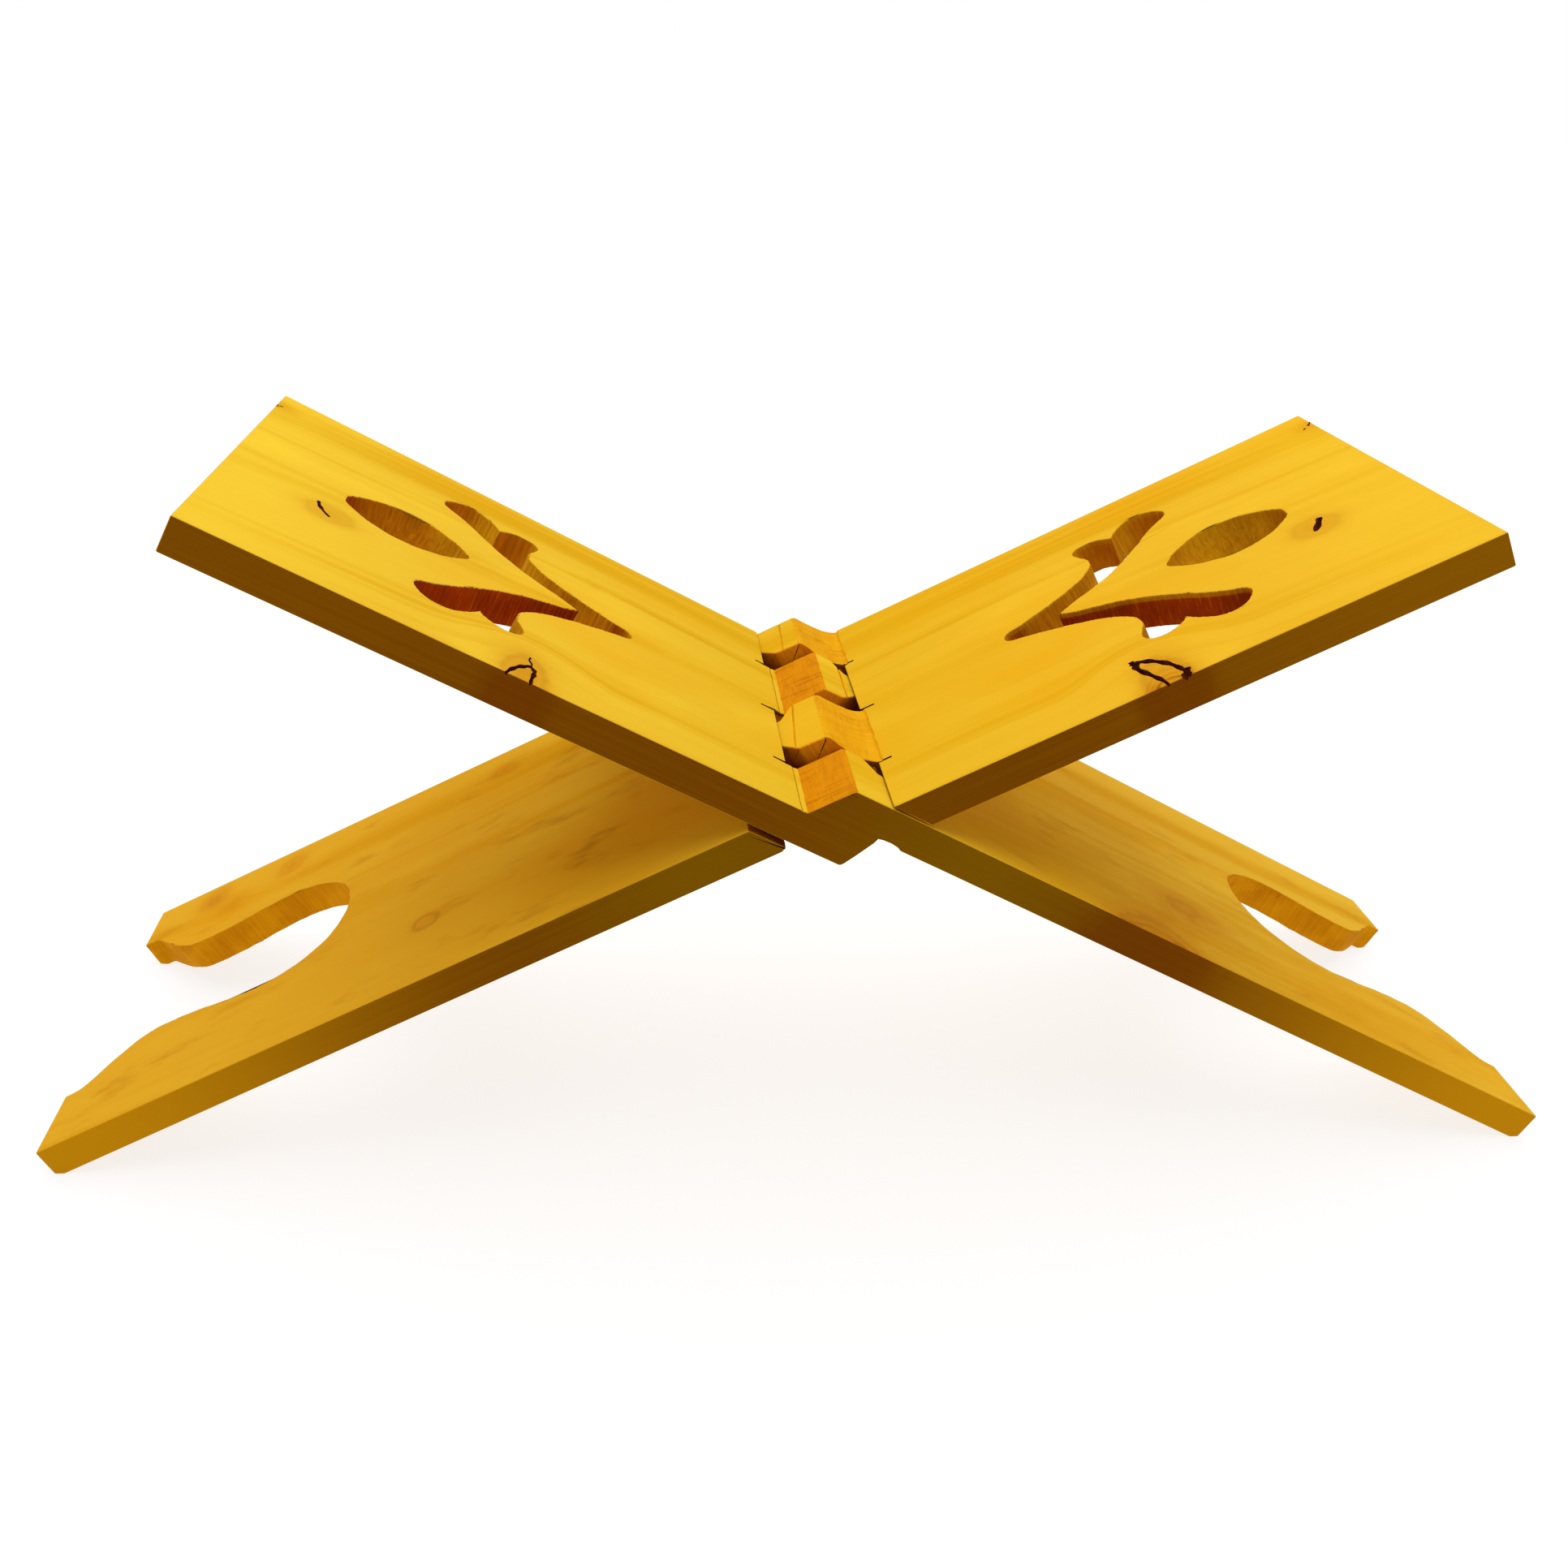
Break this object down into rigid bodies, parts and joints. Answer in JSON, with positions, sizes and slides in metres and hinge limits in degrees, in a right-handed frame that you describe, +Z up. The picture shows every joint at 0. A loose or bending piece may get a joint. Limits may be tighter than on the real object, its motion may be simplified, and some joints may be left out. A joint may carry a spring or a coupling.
{
  "type": "folding book stand",
  "caption": "Low X-shaped folding stand sawn from one wooden plank, with fretted leaves, arched legs and a carved pinless knuckle hinge.",
  "frame": {"origin": "on the floor, midway between the feet and midway across the plank, straight under the hinge axis when the stand is open", "axes": "+X to the right along the open stand, towards the leaf of right_leaf_left_leg; +Y away from the front, along the hinge axis and across the plank; +Z up"},
  "size_m": [0.4172, 0.115, 0.1826],
  "materials": {
    "pine_left_leaf": "oiled, satin",
    "pine_right_leaf": "oiled, satin"
  },
  "bodies": {
    "left_leaf_half": {"left_leaf_right_leg": "pine_left_leaf"},
    "right_leaf_half": {"right_leaf_left_leg": "pine_right_leaf"}
  },
  "joints": [
    {"name": "knuckle_hinge", "type": "hinge", "parent": "left_leaf_half", "child": "right_leaf_half", "pos_m": [0, 0, 0.10465], "axis": [0, -1, 0], "range_deg": [0, 125]}
  ]
}
